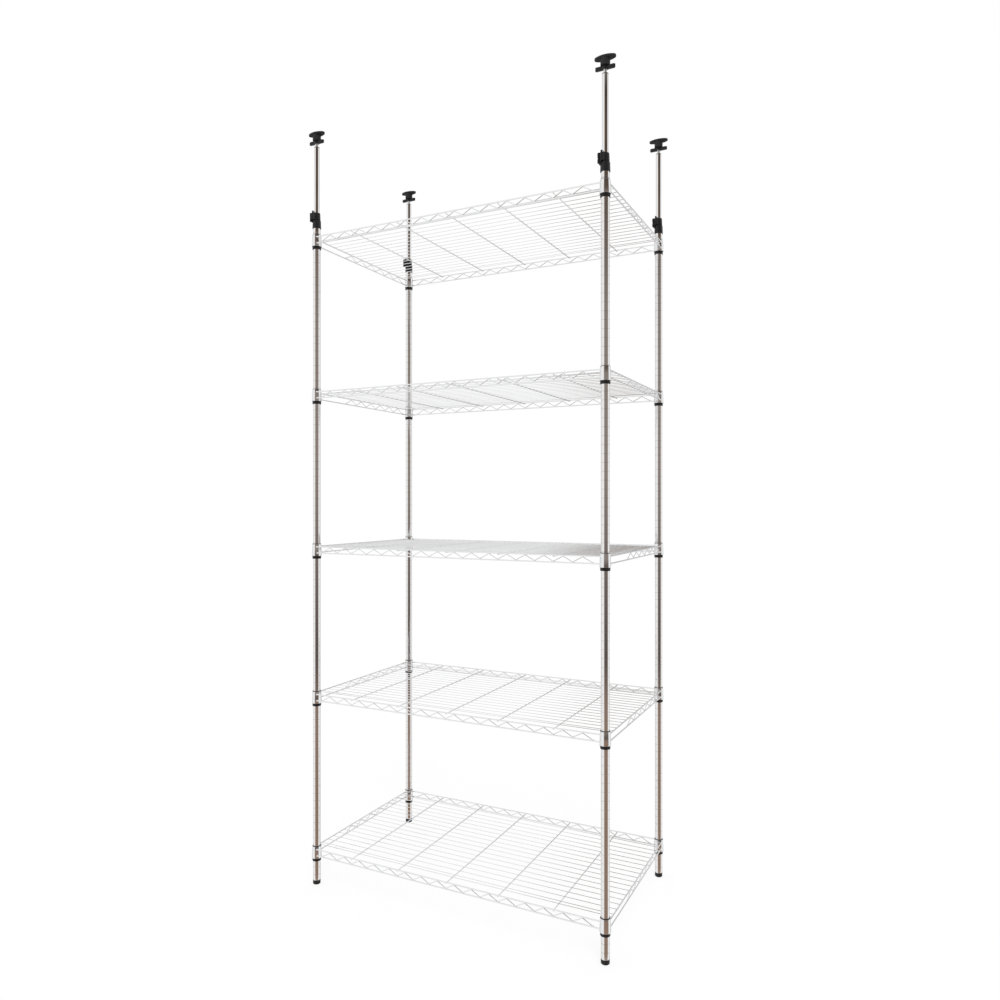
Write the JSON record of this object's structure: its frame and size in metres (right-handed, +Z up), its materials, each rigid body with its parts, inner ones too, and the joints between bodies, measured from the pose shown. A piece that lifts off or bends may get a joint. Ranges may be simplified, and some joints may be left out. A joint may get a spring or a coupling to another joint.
{
  "type": "wire shelving unit",
  "caption": "Floor-to-ceiling chrome wire shelving unit: wire shelves on grooved posts, held to the ceiling by locked inner poles and screw jacks.",
  "frame": {"origin": "on the floor, below the middle of the unit", "axes": "+Z up along the posts, +X along the shelves, -Y is the front"},
  "size_m": [1.1086, 0.6117, 2.592],
  "materials": {
    "wire_chrome": "bright nickel-chrome wire",
    "collar_chrome": "bright nickel-chrome tapered sleeve",
    "post_chrome": "bright chrome tube with grooves",
    "pole_chrome": "bright chrome tube",
    "screw_chrome": "bright threaded screw",
    "clip_plastic": "black moulded plastic",
    "lock_plastic": "black moulded plastic, light texture",
    "jack_plastic": "black moulded plastic",
    "pad_rubber": "black moulded pad",
    "foot_rubber": "black moulded foot",
    "zinc_steel": "zinc plated",
    "black_steel": "blacked steel",
    "inner_plastic": "dark moulded plastic, hidden"
  },
  "bodies": {
    "root": {"post_front_left": "post_chrome", "post_front_right": "post_chrome", "post_back_left": "post_chrome", "post_back_right": "post_chrome", "lock_housing_front_left": "lock_plastic", "lock_housing_front_right": "lock_plastic", "lock_housing_back_left": "lock_plastic", "lock_housing_back_right": "lock_plastic", "split_clips": "clip_plastic", "pole_guides": "inner_plastic", "lock_pins": "black_steel", "lock_bolts": "black_steel", "foot_inserts": "inner_plastic"},
    "shelf_1": {"shelf_1_frame": "wire_chrome", "shelf_1_deck": "wire_chrome", "shelf_1_collars": "collar_chrome"},
    "shelf_2": {"shelf_2_frame": "wire_chrome", "shelf_2_deck": "wire_chrome", "shelf_2_collars": "collar_chrome"},
    "shelf_3": {"shelf_3_frame": "wire_chrome", "shelf_3_deck": "wire_chrome", "shelf_3_collars": "collar_chrome"},
    "shelf_4": {"shelf_4_frame": "wire_chrome", "shelf_4_deck": "wire_chrome", "shelf_4_collars": "collar_chrome"},
    "shelf_5": {"shelf_5_frame": "wire_chrome", "shelf_5_deck": "wire_chrome", "shelf_5_collars": "collar_chrome"},
    "pole_front_left": {"inner_pole_front_left": "pole_chrome", "pole_plug_front_left": "inner_plastic"},
    "pad_front_left": {"ceiling_pad_front_left": "pad_rubber"},
    "handle_front_left": {"jack_handle_front_left": "jack_plastic", "jack_screw_front_left": "screw_chrome"},
    "lever_front_left": {"lock_lever_front_left": "lock_plastic"},
    "foot_front_left": {"foot_base_front_left": "foot_rubber"},
    "stem_front_left": {"foot_stem_front_left": "zinc_steel"},
    "pole_front_right": {"inner_pole_front_right": "pole_chrome", "pole_plug_front_right": "inner_plastic"},
    "pad_front_right": {"ceiling_pad_front_right": "pad_rubber"},
    "handle_front_right": {"jack_handle_front_right": "jack_plastic", "jack_screw_front_right": "screw_chrome"},
    "lever_front_right": {"lock_lever_front_right": "lock_plastic"},
    "foot_front_right": {"foot_base_front_right": "foot_rubber"},
    "stem_front_right": {"foot_stem_front_right": "zinc_steel"},
    "pole_back_left": {"inner_pole_back_left": "pole_chrome", "pole_plug_back_left": "inner_plastic"},
    "pad_back_left": {"ceiling_pad_back_left": "pad_rubber"},
    "handle_back_left": {"jack_handle_back_left": "jack_plastic", "jack_screw_back_left": "screw_chrome"},
    "lever_back_left": {"lock_lever_back_left": "lock_plastic"},
    "foot_back_left": {"foot_base_back_left": "foot_rubber"},
    "stem_back_left": {"foot_stem_back_left": "zinc_steel"},
    "pole_back_right": {"inner_pole_back_right": "pole_chrome", "pole_plug_back_right": "inner_plastic"},
    "pad_back_right": {"ceiling_pad_back_right": "pad_rubber"},
    "handle_back_right": {"jack_handle_back_right": "jack_plastic", "jack_screw_back_right": "screw_chrome"},
    "lever_back_right": {"lock_lever_back_right": "lock_plastic"},
    "foot_back_right": {"foot_base_back_right": "foot_rubber"},
    "stem_back_right": {"foot_stem_back_right": "zinc_steel"}
  },
  "joints": [
    {"name": "shelf_1_lift", "type": "slide", "parent": "root", "child": "shelf_1", "axis": [0, 0, 1], "range_m": [0, 0.45]},
    {"name": "shelf_2_lift", "type": "slide", "parent": "root", "child": "shelf_2", "axis": [0, 0, 1], "range_m": [0, 0.45]},
    {"name": "shelf_3_lift", "type": "slide", "parent": "root", "child": "shelf_3", "axis": [0, 0, 1], "range_m": [0, 0.45]},
    {"name": "shelf_4_lift", "type": "slide", "parent": "root", "child": "shelf_4", "axis": [0, 0, 1], "range_m": [0, 0.45]},
    {"name": "shelf_5_lift", "type": "slide", "parent": "root", "child": "shelf_5", "axis": [0, 0, 1], "range_m": [0, 0.02]},
    {"name": "pole_front_left_slide", "type": "slide", "parent": "root", "child": "pole_front_left", "axis": [0, 0, 1], "range_m": [-0.22, 0.2]},
    {"name": "pad_front_left_lift", "type": "slide", "parent": "pole_front_left", "child": "pad_front_left", "axis": [0, 0, 1], "range_m": [-0.012, 0.0175]},
    {"name": "handle_front_left_turn", "type": "hinge", "parent": "pad_front_left", "child": "handle_front_left", "pos_m": [-0.5221, -0.289, 2.5604], "axis": [0, 0, 1], "range_deg": [-1446, 2106]},
    {"name": "lever_front_left_flip", "type": "hinge", "parent": "root", "child": "lever_front_left", "pos_m": [-0.537, -0.30233, 2.2998], "axis": [0, 0, 1], "range_deg": [0, 110]},
    {"name": "foot_front_left_drop", "type": "slide", "parent": "root", "child": "foot_front_left", "axis": [0, 0, -1], "range_m": [0, 0.0121]},
    {"name": "stem_front_left_turn", "type": "hinge", "parent": "foot_front_left", "child": "stem_front_left", "pos_m": [-0.5221, -0.289, 0.02], "axis": [0, 0, -1], "range_deg": [0, 3456]},
    {"name": "pole_front_right_slide", "type": "slide", "parent": "root", "child": "pole_front_right", "axis": [0, 0, 1], "range_m": [-0.22, 0.2]},
    {"name": "pad_front_right_lift", "type": "slide", "parent": "pole_front_right", "child": "pad_front_right", "axis": [0, 0, 1], "range_m": [-0.012, 0.0175]},
    {"name": "handle_front_right_turn", "type": "hinge", "parent": "pad_front_right", "child": "handle_front_right", "pos_m": [0.5221, -0.289, 2.5604], "axis": [0, 0, 1], "range_deg": [-1446, 2106]},
    {"name": "lever_front_right_flip", "type": "hinge", "parent": "root", "child": "lever_front_right", "pos_m": [0.5072, -0.30233, 2.2998], "axis": [0, 0, 1], "range_deg": [0, 110]},
    {"name": "foot_front_right_drop", "type": "slide", "parent": "root", "child": "foot_front_right", "axis": [0, 0, -1], "range_m": [0, 0.0121]},
    {"name": "stem_front_right_turn", "type": "hinge", "parent": "foot_front_right", "child": "stem_front_right", "pos_m": [0.5221, -0.289, 0.02], "axis": [0, 0, -1], "range_deg": [0, 3456]},
    {"name": "pole_back_left_slide", "type": "slide", "parent": "root", "child": "pole_back_left", "axis": [0, 0, 1], "range_m": [-0.22, 0.2]},
    {"name": "pad_back_left_lift", "type": "slide", "parent": "pole_back_left", "child": "pad_back_left", "axis": [0, 0, 1], "range_m": [-0.012, 0.0175]},
    {"name": "handle_back_left_turn", "type": "hinge", "parent": "pad_back_left", "child": "handle_back_left", "pos_m": [-0.5221, 0.289, 2.5604], "axis": [0, 0, 1], "range_deg": [-1446, 2106]},
    {"name": "lever_back_left_flip", "type": "hinge", "parent": "root", "child": "lever_back_left", "pos_m": [-0.537, 0.27567, 2.2998], "axis": [0, 0, 1], "range_deg": [0, 110]},
    {"name": "foot_back_left_drop", "type": "slide", "parent": "root", "child": "foot_back_left", "axis": [0, 0, -1], "range_m": [0, 0.0121]},
    {"name": "stem_back_left_turn", "type": "hinge", "parent": "foot_back_left", "child": "stem_back_left", "pos_m": [-0.5221, 0.289, 0.02], "axis": [0, 0, -1], "range_deg": [0, 3456]},
    {"name": "pole_back_right_slide", "type": "slide", "parent": "root", "child": "pole_back_right", "axis": [0, 0, 1], "range_m": [-0.22, 0.2]},
    {"name": "pad_back_right_lift", "type": "slide", "parent": "pole_back_right", "child": "pad_back_right", "axis": [0, 0, 1], "range_m": [-0.012, 0.0175]},
    {"name": "handle_back_right_turn", "type": "hinge", "parent": "pad_back_right", "child": "handle_back_right", "pos_m": [0.5221, 0.289, 2.5604], "axis": [0, 0, 1], "range_deg": [-1446, 2106]},
    {"name": "lever_back_right_flip", "type": "hinge", "parent": "root", "child": "lever_back_right", "pos_m": [0.5072, 0.27567, 2.2998], "axis": [0, 0, 1], "range_deg": [0, 110]},
    {"name": "foot_back_right_drop", "type": "slide", "parent": "root", "child": "foot_back_right", "axis": [0, 0, -1], "range_m": [0, 0.0121]},
    {"name": "stem_back_right_turn", "type": "hinge", "parent": "foot_back_right", "child": "stem_back_right", "pos_m": [0.5221, 0.289, 0.02], "axis": [0, 0, -1], "range_deg": [0, 3456]}
  ],
  "couplings": [
    {"joint": "handle_front_left_turn", "follows": "pad_front_left_lift", "rad_per_m": 2094.4},
    {"joint": "foot_front_left_drop", "follows": "stem_front_left_turn", "m_per_rad": 0.00019894},
    {"joint": "handle_front_right_turn", "follows": "pad_front_right_lift", "rad_per_m": 2094.4},
    {"joint": "foot_front_right_drop", "follows": "stem_front_right_turn", "m_per_rad": 0.00019894},
    {"joint": "handle_back_left_turn", "follows": "pad_back_left_lift", "rad_per_m": 2094.4},
    {"joint": "foot_back_left_drop", "follows": "stem_back_left_turn", "m_per_rad": 0.00019894},
    {"joint": "handle_back_right_turn", "follows": "pad_back_right_lift", "rad_per_m": 2094.4},
    {"joint": "foot_back_right_drop", "follows": "stem_back_right_turn", "m_per_rad": 0.00019894}
  ]
}
